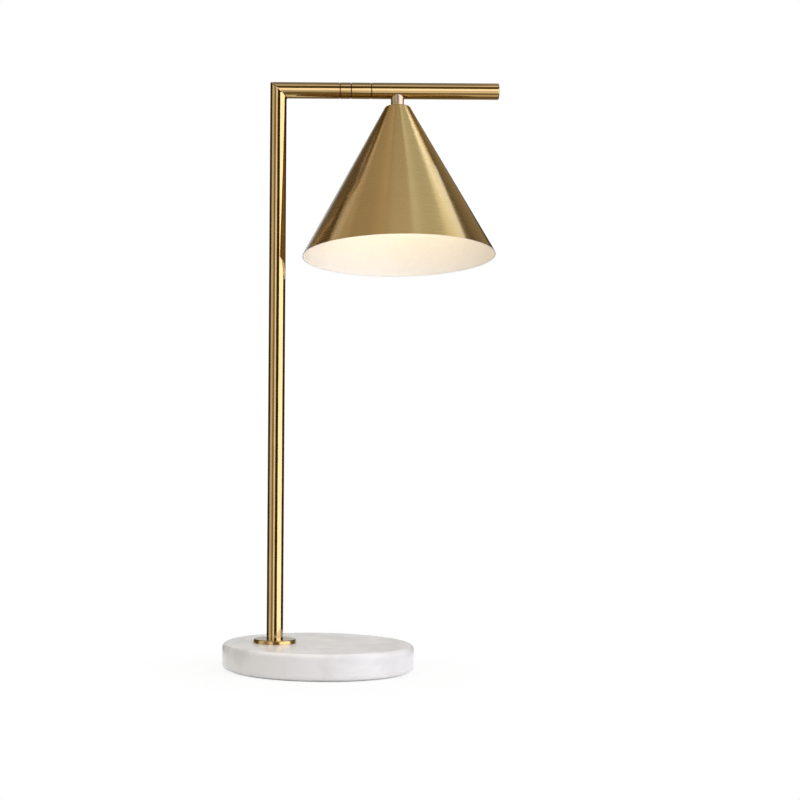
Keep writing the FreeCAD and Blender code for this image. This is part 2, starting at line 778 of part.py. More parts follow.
# Bulb
def bulb_screw_cap():
    """Metal screw cap of the bulb."""
    inner = bulb_cap_radius - BULB_CAP_WALL
    lip_bottom = bulb_cap_depth + BULB_CAP_WALL
    tip_hole = BULB_TIP_DIAMETER / 2 + FIT_GAP
    return turned_hanging(
        [
            (tip_hole, bulb_cap_depth),
            (bulb_cap_radius, bulb_cap_depth),
            (bulb_cap_radius, bulb_shoulder_depth),
            (inner, bulb_shoulder_depth),
            (inner, lip_bottom),
            (tip_hole, lip_bottom),
        ]
    )


def bulb_tip():
    """Contact tip of the bulb, set in the end of its cap."""
    tip_radius = BULB_TIP_DIAMETER / 2
    return turned_hanging(
        [
            (0, contact_tip_depth),
            (tip_radius / 2, contact_tip_depth),
            (tip_radius, bulb_cap_depth),
            (tip_radius, bulb_cap_depth + BULB_TIP_PLUG),
            (0, bulb_cap_depth + BULB_TIP_PLUG),
        ]
    )


def bulb_housing():
    """Plastic body between the screw cap and the globe."""
    plug = bulb_cap_radius - BULB_CAP_WALL - FIT_GAP
    wall = BULB_HOUSING_WALL
    return turned_hanging(
        [
            (plug - wall, bulb_shoulder_depth - BULB_HOUSING_PLUG),
            (plug, bulb_shoulder_depth - BULB_HOUSING_PLUG),
            (plug, bulb_shoulder_depth),
            (bulb_cap_radius, bulb_shoulder_depth),
            (bulb_mouth_radius, bulb_mouth_depth),
            (bulb_mouth_radius - wall, bulb_mouth_depth),
            (plug - wall, bulb_shoulder_depth),
        ]
    )


def bulb_globe():
    """Hollow opal globe of the bulb, open where it meets the housing."""
    centre = FreeCAD.Vector(0, 0, -bulb_centre_depth)
    globe = Part.makeSphere(bulb_globe_radius, centre)
    globe = globe.cut(Part.makeSphere(bulb_globe_radius - BULB_GLOBE_WALL, centre))
    return hung(globe.cut(disc(bulb_globe_radius, -bulb_mouth_depth, 0)))


STANDING_PIECES = [
    foot_pad,
    stone_base,
    cord_gland,
    terminal_block,
    terminal_screws,
    base_washer,
    base_lock_washer,
    base_nut,
    post_nipple,
    base_flange,
    post_foot_bush,
    post_tube,
    arm_stub,
    post_wires,
    swivel_socket,
    swivel_spindle,
    friction_washer,
    disc_spring,
]

TURNING_PIECES = [
    swivel_sleeve,
    stop_screw,
    arm_tube,
    arm_end_cap,
    shade_neck,
    neck_nipple,
    arm_wires,
    shade,
    shade_washer,
    shade_nut,
    socket_cap,
    socket_body,
    socket_core,
    socket_screw_shell,
    socket_contact,
    bulb_screw_cap,
    bulb_tip,
    bulb_housing,
    bulb_globe,
]


def main():
    os.makedirs("parts", exist_ok=True)
    for piece in STANDING_PIECES:
        piece().exportStep(f"parts/{piece.__name__}.step")
    for piece in TURNING_PIECES:
        tilted(piece()).exportStep(f"parts/{piece.__name__}.step")


main()
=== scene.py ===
import json
import math

import bmesh
import bpy
from mathutils import Matrix, Vector

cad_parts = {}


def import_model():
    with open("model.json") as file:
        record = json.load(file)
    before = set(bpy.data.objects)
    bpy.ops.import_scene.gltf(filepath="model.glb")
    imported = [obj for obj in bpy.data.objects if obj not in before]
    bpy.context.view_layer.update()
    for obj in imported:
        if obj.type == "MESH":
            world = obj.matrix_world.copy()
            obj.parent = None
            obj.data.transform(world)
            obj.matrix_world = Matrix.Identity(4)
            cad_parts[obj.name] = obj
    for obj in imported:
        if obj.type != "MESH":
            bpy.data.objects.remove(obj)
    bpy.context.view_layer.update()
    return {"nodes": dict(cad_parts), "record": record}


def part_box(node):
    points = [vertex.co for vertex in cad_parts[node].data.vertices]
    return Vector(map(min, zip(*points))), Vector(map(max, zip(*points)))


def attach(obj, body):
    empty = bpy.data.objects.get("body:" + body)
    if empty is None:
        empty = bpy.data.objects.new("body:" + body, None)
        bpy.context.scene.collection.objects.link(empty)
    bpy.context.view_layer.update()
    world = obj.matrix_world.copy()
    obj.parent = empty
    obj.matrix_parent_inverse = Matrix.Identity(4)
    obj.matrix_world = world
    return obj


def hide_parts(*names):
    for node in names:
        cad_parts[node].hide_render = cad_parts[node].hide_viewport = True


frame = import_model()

# Looks of a brass desk lamp with a stone base, in metres, in the frame of its solids.
# Turned pieces are swept about their own Z axis and then put in their place.

# Rest pose of the turning arm
REST_TILT = math.radians(8.8)

# Mesh fineness
AROUND = 160
SCREW_SIDES = 48
HEXAGON_SIDES = 6
ARC_STEPS = 6
GLOBE_STEPS = 40
SMOOTH_ANGLE = math.radians(35)

# Roundings, chamfers, walls and gaps that the solids' boxes don't give
STONE_TOP_ROUNDING = 0.0050
STONE_BOTTOM_ROUNDING = 0.0045
RECESS_MARGIN = 0.0030
FLANGE_TAPER = 0.0005
FLANGE_ROUNDING = 0.0012
FLANGE_SEAT_DEPTH = 0.0010
SEAM_WIDTH = 0.0005
SEAM_DEPTH = 0.0009
SLIT_WIDTH = 0.0002
SLIT_DEPTH = 0.0003
EDGE_ROUNDING = 0.00025
ELBOW_ROUNDING = 0.0012
TIP_ROUNDING = 0.0010
NECK_CHAMFER = 0.0004
SHADE_TOP_RADIUS = 0.0120
SHADE_SHOULDER = 0.0022
SHADE_WALL = 0.0008
SHADE_RIM_ROUNDING = 0.00035
BULB_WALL = 0.0010
PAD_ROUNDING = 0.0005
FIT_GAP = 0.00003
GLAND_LIP_ROUNDING = 0.0006
GRUB_SOCKET_ACROSS = 0.0015
GRUB_SOCKET_DEPTH = 0.0012

# How far a cutter reaches past what it cuts
CUT_MARGIN = 0.0050

# Height of a normal below which a face of the shade counts as its inside
INSIDE_NORMAL = -0.1


# Places read from the solids
def spans(node, place):
    """Lowest and highest height, and inner and outer radius, of a solid about a place's Z axis."""
    inverse = place.inverted()
    points = [inverse @ vertex.co for vertex in frame["nodes"][node].data.vertices]
    heights = [point.z for point in points]
    radii = [math.hypot(point.x, point.y) for point in points]
    return min(heights), max(heights), min(radii), max(radii)


def middle(node):
    """Middle of a solid's box."""
    low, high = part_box(node)
    return (low + high) / 2


post_x = middle("post_tube").x
neck_x = middle("shade").x
arm_height = middle("arm_tube").z
elbow = Vector((post_x, 0, arm_height))
base_low, base_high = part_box("stone_base")
base_radius = base_high.x
stub_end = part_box("arm_stub")[1].x - post_x
seam_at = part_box("swivel_socket")[1].x - post_x
sleeve_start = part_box("swivel_sleeve")[0].x - post_x
arm_start, arm_end = (corner.x - post_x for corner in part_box("arm_tube"))
tip_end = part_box("arm_end_cap")[1].x - post_x

TILTED = Matrix.Rotation(-REST_TILT, 4, "X")
ALONG_X = Matrix(((0, 0, 1, 0), (0, -1, 0, 0), (1, 0, 0, 0), (0, 0, 0, 1)))
ALONG_Y = Matrix.Rotation(-math.pi / 2, 4, "X")
DOWNWARD = Matrix(((-1, 0, 0, 0), (0, 1, 0, 0), (0, 0, -1, 0), (0, 0, 0, 1)))
BASE_PLACE = Matrix.Identity(4)
POST_PLACE = Matrix.Translation((post_x, 0, 0))
ELBOW_DOWN_PLACE = Matrix.Translation(elbow) @ DOWNWARD
ARM_PLACE = Matrix.Translation(elbow) @ ALONG_X
HANGING_PLACE = Matrix.Translation((neck_x, 0, arm_height)) @ TILTED
GLAND_PLACE = Matrix.Translation(middle("cord_gland")) @ ALONG_Y
GRUB_PLACE = Matrix.Translation(middle("stop_screw")) @ TILTED @ ALONG_Y

tube_bore, tube_radius = spans("post_tube", POST_PLACE)[2:]


# Mesh helpers
def arc(before, corner, after, radius):
    """Points of an arc that rounds an outline's corner."""
    toward_before = (before - corner).normalized()
    toward_after = (after - corner).normalized()
    half_angle = toward_before.angle(toward_after) / 2
    bisector = (toward_before + toward_after).normalized()
    centre = corner + bisector * (radius / math.sin(half_angle))
    setback = radius / math.tan(half_angle)
    start = corner + toward_before * setback - centre
    end = corner + toward_after * setback - centre
    first = math.atan2(start.y, start.x)
    turn = (math.atan2(end.y, end.x) - first + math.pi) % (2 * math.pi) - math.pi
    angles = [first + turn * step / ARC_STEPS for step in range(ARC_STEPS + 1)]
    return [centre + Vector((math.cos(angle), math.sin(angle))) * radius for angle in angles]


def outline(corners):
    """Closed outline from (radius, height) corners, where a third value rounds the corner."""
    flat = [Vector(corner[:2]) for corner in corners]
    points = []
    for i, corner in enumerate(corners):
        if len(corner) == 3:
            points += arc(flat[i - 1], flat[i], flat[(i + 1) % len(flat)], corner[2])
        else:
            points.append(flat[i])
    return points


def circle(radius, height, sides=AROUND):
    """Points round the Z axis."""
    turns = [2 * math.pi * side / sides for side in range(sides)]
    return [(radius * math.cos(turn), radius * math.sin(turn), height) for turn in turns]


def lofted(rings):
    """Closed mesh through rings of points, in which a ring of one point is a pole."""
    shape = bmesh.new()
    made = [[shape.verts.new(point) for point in ring] for ring in rings]
    for i, ring in enumerate(made):
        following = made[(i + 1) % len(made)]
        count = max(len(ring), len(following))
        if count == 1:
            continue
        for k in range(count):
            corners = [
                ring[k % len(ring)],
                ring[(k + 1) % len(ring)],
                following[(k + 1) % len(following)],
                following[k % len(following)],
            ]
            shape.faces.new(list(dict.fromkeys(corners)))
    bmesh.ops.recalc_face_normals(shape, faces=shape.faces)
    mesh = bpy.data.meshes.new("lofted")
    shape.to_mesh(mesh)
    shape.free()
    return mesh


def turned(corners, sides=AROUND):
    """Mesh swept about Z by a closed outline of (radius, height) corners."""
    rings = []
    for point in outline(corners):
        if point.x < FIT_GAP:
            rings.append([(0, 0, point.y)])
        else:
            rings.append(circle(point.x, point.y, sides))
    return lofted(rings)


def rod(radius, low, high, sides=AROUND):
    """Mesh of a plain rod along Z."""
    return turned([(0, low), (radius, low), (radius, high), (0, high)], sides)


def without(mesh, cutter, place=Matrix.Identity(4)):
    """Mesh with a cutter's mesh taken out of it, the cutter put in a place of the mesh's own frame."""
    made = []
    for data, matrix in ((mesh, Matrix.Identity(4)), (cutter, place)):
        thing = bpy.data.objects.new("cutting", data)
        thing.matrix_world = matrix
        bpy.context.scene.collection.objects.link(thing)
        made.append(thing)
    modifier = made[0].modifiers.new("cut", "BOOLEAN")
    modifier.object = made[1]
    modifier.operation = "DIFFERENCE"
    modifier.solver = "EXACT"
    bpy.context.view_layer.update()
    evaluated = made[0].evaluated_get(bpy.context.evaluated_depsgraph_get())
    result = bpy.data.meshes.new_from_object(evaluated)
    for thing in made:
        bpy.data.objects.remove(thing)
    return result


# Material helpers
def fill(tree, node, inputs):
    """Sets a node's inputs by name or position, and links those that are given as sockets."""
    for key, value in inputs.items():
        if isinstance(value, bpy.types.NodeSocket):
            tree.links.new(value, node.inputs[key])
        else:
            node.inputs[key].default_value = value
    return node


def add(tree, kind, inputs=None, **settings):
    """New node with settings and inputs."""
    node = tree.nodes.new("ShaderNode" + kind)
    for name, value in settings.items():
        setattr(node, name, value)
    return fill(tree, node, inputs or {})


def empty_material(name):
    """New material with an empty node tree, and the tree."""
    material = bpy.data.materials.new(name)
    material.use_nodes = True
    material.node_tree.nodes.clear()
    return material, material.node_tree


def surface(name):
    """New material, its node tree and its shader."""
    material, tree = empty_material(name)
    shader = add(tree, "BsdfPrincipled")
    add(tree, "OutputMaterial", {"Surface": shader.outputs["BSDF"]})
    return material, tree, shader


def own_point(tree):
    """Point in the piece's own frame."""
    return add(tree, "TexCoord").outputs["Object"]


def own_place(tree, axis):
    """Place of the point along an axis of the piece's own frame."""
    return add(tree, "SeparateXYZ", {"Vector": own_point(tree)}).outputs[axis]


def own_reach(tree):
    """Distance of the point from the piece's own origin."""
    return add(tree, "VectorMath", {0: own_point(tree)}, operation="LENGTH").outputs["Value"]


def vector_math(tree, operation, *values):
    """Result of a vector operation."""
    return add(tree, "VectorMath", dict(enumerate(values)), operation=operation).outputs["Vector"]


def math_node(tree, operation, *values):
    """Result of an operation on values."""
    return add(tree, "Math", dict(enumerate(values)), operation=operation).outputs["Value"]


def shares(tree, first, first_share, second, second_share):
    """Sum of two values, each times its share."""
    first_part = math_node(tree, "MULTIPLY", first, first_share)
    second_part = math_node(tree, "MULTIPLY", second, second_share)
    return math_node(tree, "ADD", first_part, second_part)


def round_axis(tree, point, around, along):
    """Point made of the direction round the piece's Z axis and of the height, each scaled."""
    across = vector_math(tree, "NORMALIZE", vector_math(tree, "MULTIPLY", point, (1, 1, 0)))
    tall = vector_math(tree, "MULTIPLY", point, (0, 0, along))
    return vector_math(tree, "MULTIPLY_ADD", across, (around, around, 0), tall)


def noise(tree, point, scale=1.0, detail=2.0, roughness=0.5, distortion=0.0):
    """Noise from 0 to 1 at a point."""
    inputs = {
        "Vector": point,
        "Scale": scale,
        "Detail": detail,
        "Roughness": roughness,
        "Distortion": distortion,
    }
    return add(tree, "TexNoise", inputs).outputs["Fac"]


def spread(tree, value, old_range, new_range):
    """A value mapped from one range to another and held there."""
    inputs = {
        "Value": value,
        "From Min": old_range[0],
        "From Max": old_range[1],
        "To Min": new_range[0],
        "To Max": new_range[1],
    }
    return add(tree, "MapRange", inputs).outputs["Result"]


def colours(tree, factor, stops):
    """Colour along a ramp of (position, colour) stops."""
    node = add(tree, "ValToRGB", {"Fac": factor})
    elements = node.color_ramp.elements
    while len(elements) < len(stops):
        elements.new(0.5)
    for element, (position, colour) in zip(elements, stops):
        element.position = position
        element.color = (*colour, 1)
    return node.outputs["Color"]


def bumped(tree, height, distance):
    """Normal of a height from 0 to 1 that stands for a distance."""
    return add(tree, "Bump", {"Height": height, "Distance": distance}).outputs["Normal"]


# Range in which most values of a noise lie
MOST = (0.3, 0.7)


def tones(tree, value, first, last, ends=MOST):
    """Colour that goes from the first to the last while a value goes from one end to the other."""
    return colours(tree, value, list(zip(ends, (first, last))))


# Materials
def satin_brass():
    """Drawn and polished tube under lacquer: fine lines along it and a slight hand-polished waviness."""
    material, tree, shader = surface("satin_brass")
    point = own_point(tree)
    lines = noise(tree, round_axis(tree, point, around=34, along=9), detail=4)
    tone = noise(tree, point, scale=26, detail=3)
    wave = noise(tree, round_axis(tree, point, around=0.8, along=22))
    look = {
        "Base Color": tones(tree, tone, (0.51, 0.345, 0.130), (0.57, 0.395, 0.155)),
        "Metallic": 1.0,
        "Roughness": spread(tree, lines, (0.25, 0.75), (0.06, 0.11)),
        "Normal": bumped(tree, wave, 0.00015),
        "Coat Weight": 1.0,
        "Coat Roughness": 0.04,
    }
    fill(tree, shader, look)
    return material


def turned_brass():
    """Faced brass under lacquer, with fine rings round its axis, softer than the tubes."""
    material, tree, shader = surface("turned_brass")
    ring_point = add(tree, "CombineXYZ", {"Z": own_reach(tree)}).outputs["Vector"]
    rings = noise(tree, ring_point, scale=2600, detail=3)
    tone = noise(tree, own_point(tree), scale=60)
    look = {
        "Base Color": tones(tree, tone, (0.53, 0.35, 0.12), (0.60, 0.405, 0.145)),
        "Metallic": 1.0,
        "Roughness": spread(tree, rings, MOST, (0.22, 0.30)),
        "Normal": bumped(tree, rings, 0.000005),
        "Coat Weight": 1.0,
        "Coat Roughness": 0.05,
    }
    fill(tree, shader, look)
    return material


def brushed_brass():
    """Spun cone brushed round its axis under lacquer."""
    material, tree, shader = surface("brushed_brass")
    point = own_point(tree)
    fine = noise(tree, round_axis(tree, point, around=1.2, along=2600), detail=3)
    broad = noise(tree, round_axis(tree, point, around=0.9, along=420), detail=3)
    tone = noise(tree, round_axis(tree, point, around=0.6, along=40))
    streaks = shares(tree, fine, 0.55, broad, 0.45)
    depth = shares(tree, streaks, 0.6, tone, 0.4)
    look = {
        "Base Color": tones(tree, depth, (0.50, 0.33, 0.115), (0.62, 0.415, 0.15), ends=(0.1, 0.9)),
        "Metallic": 1.0,
        "Roughness": spread(tree, streaks, MOST, (0.22, 0.29)),
        "Anisotropic": 0.85,
        "Anisotropic Rotation": 0.25,
        "Tangent": add(tree, "Tangent", direction_type="RADIAL", axis="Z").outputs["Tangent"],
        "Normal": bumped(tree, fine, 0.000004),
        "Coat Weight": 0.5,
        "Coat Roughness": 0.06,
    }
    fill(tree, shader, look)
    return material


def plain_brass():
    """Turned and polished brass, paler than the lacquered pieces."""
    material, tree, shader = surface("plain_brass")
    point = own_point(tree)
    rings = noise(tree, round_axis(tree, point, around=1.5, along=1800), detail=3)
    tone = noise(tree, point, scale=90)
    look = {
        "Base Color": tones(tree, tone, (0.62, 0.49, 0.34), (0.72, 0.59, 0.43)),
        "Metallic": 1.0,
        "Roughness": spread(tree, rings, MOST, (0.34, 0.44)),
        "Normal": bumped(tree, rings, 0.00004),
    }
    fill(tree, shader, look)
    return material


def white_stone():
    """Polished white stone with faint grey clouds and hairline veins."""
    material, tree, shader = surface("white_stone")
    point = own_point(tree)
    warped = noise(tree, point, scale=22, roughness=0.45, distortion=1.2)
    cloud = spread(tree, warped, (0.48, 0.72), (0.0, 1.0))
    ridge = noise(tree, point, scale=9, detail=7, roughness=0.55, distortion=1.6)
    off_ridge = math_node(tree, "ABSOLUTE", math_node(tree, "SUBTRACT", ridge, 0.5))
    vein = spread(tree, off_ridge, (0.0, 0.018), (1.0, 0.0))
    marking = shares(tree, cloud, 0.42, vein, 0.08)
    grain = noise(tree, point, scale=60)
    look = {
        "Base Color": tones(tree, marking, (0.83, 0.825, 0.81), (0.66, 0.655, 0.65), ends=(0.0, 0.7)),
        "Roughness": spread(tree, grain, MOST, (0.20, 0.24)),
        "Specular IOR Level": 0.32,
    }
    fill(tree, shader, look)
    return material


def opal():
    """Lit opal globe, brighter towards its crown."""
    material, tree, shader = surface("opal")
    low, high = spans("bulb_globe", HANGING_PLACE)[:2]
    grain = noise(tree, own_point(tree), scale=120)
    look = {
        "Base Color": tones(tree, grain, (0.86, 0.85, 0.82), (0.9, 0.89, 0.86)),
        "Roughness": 0.3,
        "Emission Color": (1.0, 0.81, 0.51, 1),
        "Emission Strength": spread(tree, own_place(tree, "Z"), (high, low), (7.5, 11.0)),
    }
    fill(tree, shader, look)
    return material


def grained(name, first, last, scale, roughness, bump, metallic=0.0):
    """Surface with an even fine grain in its colour, gloss and height."""
    material, tree, shader = surface(name)
    grain = noise(tree, own_point(tree), scale, detail=3)
    look = {
        "Base Color": tones(tree, grain, first, last),
        "Metallic": metallic,
        "Roughness": spread(tree, grain, MOST, roughness),
        "Normal": bumped(tree, grain, bump),
    }
    fill(tree, shader, look)
    return material


# Grained finishes: two colours, scale of the grain, range of roughness, height of the bump, metallic
GRAINED_LOOKS = {
    "rubber_pad": ((0.58, 0.58, 0.57), (0.66, 0.66, 0.65), 1500, (0.75, 0.9), 0.0001),
    "black_plastic": ((0.02, 0.02, 0.02), (0.04, 0.04, 0.04), 2200, (0.4, 0.55), 0.00003),
    "white_plastic": ((0.78, 0.78, 0.75), (0.84, 0.84, 0.81), 300, (0.28, 0.38), 0.00002),
    "white_ceramic": ((0.76, 0.75, 0.7), (0.84, 0.83, 0.79), 700, (0.5, 0.65), 0.00004),
    "white_enamel": ((0.84, 0.83, 0.82), (0.88, 0.87, 0.86), 260, (0.38, 0.48), 0.00003),
    "zinc_steel": ((0.52, 0.53, 0.54), (0.64, 0.65, 0.66), 420, (0.28, 0.42), 0.00002, 1.0),
    "nickel": ((0.62, 0.60, 0.56), (0.72, 0.70, 0.66), 420, (0.2, 0.32), 0.00002, 1.0),
    "fibre": ((0.05, 0.03, 0.02), (0.12, 0.07, 0.045), 2500, (0.7, 0.85), 0.00005),
    "wire_insulation": ((0.66, 0.65, 0.6), (0.75, 0.74, 0.7), 500, (0.35, 0.5), 0.00002),
}
FINISHES = {
    "satin_brass": satin_brass(),
    "turned_brass": turned_brass(),
    "brushed_brass": brushed_brass(),
    "plain_brass": plain_brass(),
    "white_stone": white_stone(),
    "opal": opal(),
}
for finish_name, finish_look in GRAINED_LOOKS.items():
    FINISHES[finish_name] = grained(finish_name, *finish_look)


def piece(name, mesh, place, body, node, slot, *finishes):
    """Finished piece of the lamp, placed, shaded and tied to its body, with the solid that it stands for
    hidden.

    It wears the finish of its slot, or other finishes where they are given.
    """
    thing = bpy.data.objects.new(name, mesh)
    mesh.name = name
    bpy.context.scene.collection.objects.link(thing)
    thing.matrix_world = place
    mesh.materials.clear()
    for finish in finishes or (slot,):
        mesh.materials.append(FINISHES[finish])
    mesh.polygons.foreach_set("use_smooth", [True] * len(mesh.polygons))
    mesh.set_sharp_from_angle(angle=SMOOTH_ANGLE)
    weighted = thing.modifiers.new("weighted", "WEIGHTED_NORMAL")
    weighted.keep_sharp = True
    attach(thing, body)
    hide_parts(node)


# Base
def foot_pad():
    """Soft sheet under the stone, its lower edge rounded."""
    low, high, _, radius = spans("foot_pad", BASE_PLACE)
    corners = [(0, low), (radius, low, PAD_ROUNDING), (radius, high), (0, high)]
    piece("pad_sheet", turned(corners), BASE_PLACE, "stand", "foot_pad", "rubber_pad")


def stone_base():
    """Stone disc with a recess below that clears the washer, and holes for the post and the gland."""
    washer_low, washer_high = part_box("base_washer")
    recess = RECESS_MARGIN - washer_low.x
    ceiling = washer_high.z
    corners = [
        (recess, base_low.z),
        (base_radius, base_low.z, STONE_BOTTOM_ROUNDING),
        (base_radius, base_high.z, STONE_TOP_ROUNDING),
        (0, base_high.z),
        (0, ceiling),
        (recess, ceiling),
    ]
    post_hole = spans("base_flange", POST_PLACE)[2]
    mesh = without(turned(corners), rod(post_hole, 0, base_high.z + CUT_MARGIN), POST_PLACE)
    gland_low, gland_high, _, gland_radius = spans("cord_gland", GLAND_PLACE)
    mesh = without(mesh, rod(gland_radius, gland_low, gland_high + CUT_MARGIN), GLAND_PLACE)
    piece("stone_disc", mesh, BASE_PLACE, "stand", "stone_base", "white_stone")


def cord_gland():
    """Bush in the back of the stone, with a rounded lip."""
    low, high, bore, radius = spans("cord_gland", GLAND_PLACE)
    corners = [
        (bore, low),
        (radius, low),
        (radius, high, GLAND_LIP_ROUNDING),
        (bore, high, GLAND_LIP_ROUNDING),
    ]
    piece("gland_bush", turned(corners), GLAND_PLACE, "stand", "cord_gland", "black_plastic")


# Post
def base_flange():
    """Slightly tapered ring at the foot of the post, with a seat for the tube."""
    low, high, bore, radius = spans("base_flange", POST_PLACE)
    seat = high - FLANGE_SEAT_DEPTH
    corners = [
        (bore, low),
        (radius, low, EDGE_ROUNDING),
        (radius - FLANGE_TAPER, high, FLANGE_ROUNDING),
        (tube_radius + FIT_GAP, high),
        (tube_radius + FIT_GAP, seat),
        (bore, seat),
    ]
    mesh = turned(corners)
    piece("foot_flange", mesh, POST_PLACE, "stand", "base_flange", "satin_brass", "turned_brass")


def mitred_tube(length, seam):
    """Tube along Z from the elbow's rounded mitre, longest at +X, and maybe with a seam at its end."""

    def corner_ring(angle):
        """Ring on the rounded corner, at an angle from the mitre plane."""
        inward = ELBOW_ROUNDING * (1 - math.sin(math.pi / 4 + angle))
        along = ELBOW_ROUNDING * (1 - math.cos(math.pi / 4 + angle))
        return [(x - inward, y, along - x) for x, y, _ in circle(tube_radius, 0)]

    rings = [corner_ring(math.pi / 4 * step / ARC_STEPS) for step in range(ARC_STEPS + 1)]
    if seam:
        rings.append(circle(tube_radius, length - SEAM_WIDTH))
        rings.append(circle(tube_radius - SEAM_DEPTH, length))
    else:
        rings.append(circle(tube_radius, length))
    rings.append(circle(tube_bore, length))
    rings.append([(x, y, -x) for x, y, _ in circle(tube_bore, 0)])
    return lofted(rings)


def post_and_stub():
    """Post and fixed arm, which meet at the elbow's mitre."""
    post = mitred_tube(arm_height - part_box("post_tube")[0].z, seam=False)
    piece("post_pipe", post, ELBOW_DOWN_PLACE, "stand", "post_tube", "satin_brass")
    stub = mitred_tube(stub_end, seam=True)
    piece("stub_pipe", stub, ARM_PLACE, "stand", "arm_stub", "satin_brass")


# Swivel
def seam_ring(bore, spigot_end, joint, seam):
    """Ring of the swivel between a tube joint and the turning seam, with a spigot in the tube."""
    way = math.copysign(1, seam - joint)
    spigot_radius = tube_bore - FIT_GAP
    corners = [
        (bore, spigot_end),
        (spigot_radius, spigot_end),
        (spigot_radius, joint),
        (tube_radius - SEAM_DEPTH, joint),
        (tube_radius, joint + way * SEAM_WIDTH),
        (tube_radius, seam - way * SLIT_WIDTH),
        (tube_radius - SLIT_DEPTH, seam),
        (bore, seam),
    ]
    return turned(corners)


def swivel():
    """Fixed ring, friction washer, and turning ring with the stop screw's hole."""
    low, _, bore, _ = spans("swivel_socket", ARM_PLACE)
    socket = seam_ring(bore, low, stub_end, seam_at)
    piece("swivel_ring_fixed", socket, ARM_PLACE, "stand", "swivel_socket", "satin_brass")
    low, high, bore, radius = spans("friction_washer", ARM_PLACE)
    free = high - FIT_GAP
    washer = turned([(bore, low), (radius, low), (radius, free), (bore, free)])
    piece("seam_washer", washer, ARM_PLACE, "stand", "friction_washer", "fibre")
    _, high, bore, _ = spans("swivel_sleeve", ARM_PLACE)
    sleeve = seam_ring(bore, high, arm_start, sleeve_start)
    hole = rod(spans("stop_screw", GRUB_PLACE)[3] + FIT_GAP, -tube_radius, tube_radius)
    sleeve = without(sleeve, hole, ARM_PLACE.inverted() @ GRUB_PLACE)
    piece("swivel_ring_turning", sleeve, ARM_PLACE, "swivel_arm", "swivel_sleeve", "satin_brass")


def stop_screw():
    """Grub screw with a hexagon socket."""
    low, high, _, radius = spans("stop_screw", GRUB_PLACE)
    grub = turned([(0, low), (radius, low), (radius, high, EDGE_ROUNDING), (0, high)], SCREW_SIDES)
    across_corners = GRUB_SOCKET_ACROSS / math.cos(math.pi / HEXAGON_SIDES)
    socket = rod(across_corners / 2, high - GRUB_SOCKET_DEPTH, high + CUT_MARGIN, HEXAGON_SIDES)
    piece("stop_grub", without(grub, socket), GRUB_PLACE, "swivel_arm", "stop_screw", "zinc_steel")


# Moving arm
def arm():
    """Outer arm tube, and the cap that closes its tip."""
    corners = [
        (tube_bore, arm_start),
        (tube_radius - SEAM_DEPTH, arm_start),
        (tube_radius, arm_start + SEAM_WIDTH),
        (tube_radius, arm_end),
        (tube_bore, arm_end),
    ]
    piece("arm_pipe", turned(corners), ARM_PLACE, "swivel_arm", "arm_tube", "satin_brass")
    low = spans("arm_end_cap", ARM_PLACE)[0]
    plug = tube_bore - FIT_GAP
    corners = [
        (0, low),
        (plug, low),
        (plug, arm_end),
        (tube_radius, arm_end),
        (tube_radius, tip_end, TIP_ROUNDING),
        (0, tip_end),
    ]
    piece("arm_tip", turned(corners), ARM_PLACE, "swivel_arm", "arm_end_cap", "satin_brass")


def neck():
    """Collar under the arm, whose top ring is laid on the tube."""
    low, _, bore, radius = spans("shade_neck", HANGING_PLACE)
    corners = [
        (bore, 0),
        (radius, 0),
        (radius, low + NECK_CHAMFER),
        (radius - NECK_CHAMFER, low),
        (bore, low),
    ]
    mesh = turned(corners)
    for vertex in mesh.vertices:
        if vertex.co.z > -FIT_GAP:
            vertex.co.z = -math.sqrt(tube_radius**2 - vertex.co.y**2)
    piece("neck_collar", mesh, HANGING_PLACE, "swivel_arm", "shade_neck", "plain_brass")


def shade():
    """Cone of an even wall, brass outside and enamelled inside."""
    rim, top, hole, rim_radius = spans("shade", HANGING_PLACE)
    slope = (rim_radius - SHADE_TOP_RADIUS) / (top - rim)
    across = SHADE_WALL * math.hypot(1, slope)
    inner_top = SHADE_TOP_RADIUS + SHADE_WALL * slope - across
    corners = [
        (hole, top),
        (SHADE_TOP_RADIUS, top, SHADE_SHOULDER),
        (rim_radius, rim, SHADE_RIM_ROUNDING / 2),
        (rim_radius - across, rim, SHADE_RIM_ROUNDING),
        (inner_top, top - SHADE_WALL, SHADE_SHOULDER - SHADE_WALL),
        (hole, top - SHADE_WALL),
    ]
    finishes = ("brushed_brass", "white_enamel")
    mesh = turned(corners)
    piece("cone_shade", mesh, HANGING_PLACE, "swivel_arm", "shade", "brushed_brass", *finishes)
    for face in mesh.polygons:
        face.material_index = 1 if face.normal.z < INSIDE_NORMAL else 0


# Lamp holder and bulb
def holder_skirt():
    """Ring round the lamp holder, its outer edges rounded."""
    low, high, bore, radius = spans("socket_body", HANGING_PLACE)
    corners = [
        (bore, low),
        (radius, low, EDGE_ROUNDING),
        (radius, high, EDGE_ROUNDING),
        (bore, high),
    ]
    piece("holder_skirt", turned(corners), HANGING_PLACE, "swivel_arm", "socket_body", "white_plastic")


def bulb_globe():
    """Hollow globe from its lowest point up to its mouth."""
    low, high, _, radius = spans("bulb_globe", HANGING_PLACE)
    centre = low + radius
    lowest = -math.pi / 2
    sweep = math.asin((high - centre) / radius) - lowest
    angles = [lowest + sweep * step / GLOBE_STEPS for step in range(GLOBE_STEPS + 1)]

    def curve(reach):
        return [(reach * math.cos(angle), centre + reach * math.sin(angle)) for angle in angles]

    mesh = turned(curve(radius) + curve(radius - BULB_WALL)[::-1])
    piece("bulb_opal", mesh, HANGING_PLACE, "swivel_arm", "bulb_globe", "opal")


